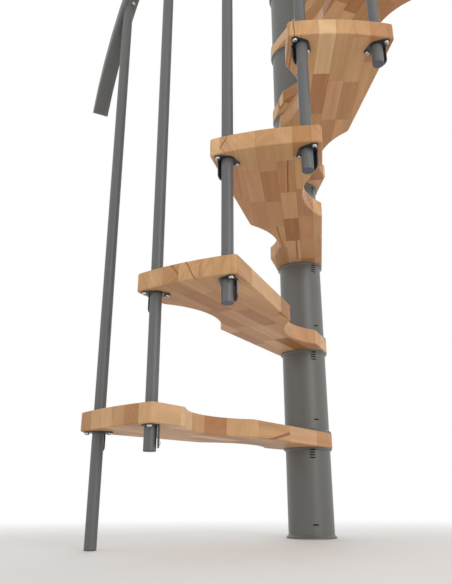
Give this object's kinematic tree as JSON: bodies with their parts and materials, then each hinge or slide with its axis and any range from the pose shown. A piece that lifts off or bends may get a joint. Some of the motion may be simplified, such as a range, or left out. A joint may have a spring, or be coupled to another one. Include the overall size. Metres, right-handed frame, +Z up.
{
  "type": "spiral staircase",
  "caption": "Space-saving spiral staircase: wooden treads with alternating foot bays round a steel column, with tube balusters and a helical handrail.",
  "frame": {"origin": "centre of the base plate's underside, on the floor and on the column's axis", "axes": "+Z up along the column; the flight climbs anticlockwise seen from above, and its first tread points between -X and -Y"},
  "size_m": [1.1318, 0.8636, 3.888],
  "materials": {
    "beech": "laminated from staves, satin lacquer",
    "steel_paint": "warm grey powder coat, satin",
    "rail_paint": "warm grey powder coat, satin",
    "end_plugs": "moulded, matt"
  },
  "bodies": {
    "root": {"baluster_01": "steel_paint", "baluster_02": "steel_paint", "baluster_03": "steel_paint", "baluster_04": "steel_paint", "baluster_05": "steel_paint", "baluster_06": "steel_paint", "baluster_07": "steel_paint", "baluster_08": "steel_paint", "baluster_09": "steel_paint", "baluster_10": "steel_paint", "baluster_11": "steel_paint", "baluster_12": "steel_paint", "baluster_plugs": "end_plugs", "base_plate": "steel_paint", "centre_pole": "steel_paint", "column_cap": "steel_paint", "column_sleeve_01": "steel_paint", "column_sleeve_02": "steel_paint", "column_sleeve_03": "steel_paint", "column_sleeve_04": "steel_paint", "column_sleeve_05": "steel_paint", "column_sleeve_06": "steel_paint", "column_sleeve_07": "steel_paint", "column_sleeve_08": "steel_paint", "column_sleeve_09": "steel_paint", "column_sleeve_10": "steel_paint", "column_sleeve_11": "steel_paint", "front_brackets": "steel_paint", "handrail": "rail_paint", "rail_saddles": "steel_paint", "rear_brackets": "steel_paint", "tread_01": "beech", "tread_02": "beech", "tread_03": "beech", "tread_04": "beech", "tread_05": "beech", "tread_06": "beech", "tread_07": "beech", "tread_08": "beech", "tread_09": "beech", "tread_10": "beech", "tread_11": "beech"}
  },
  "joints": []
}
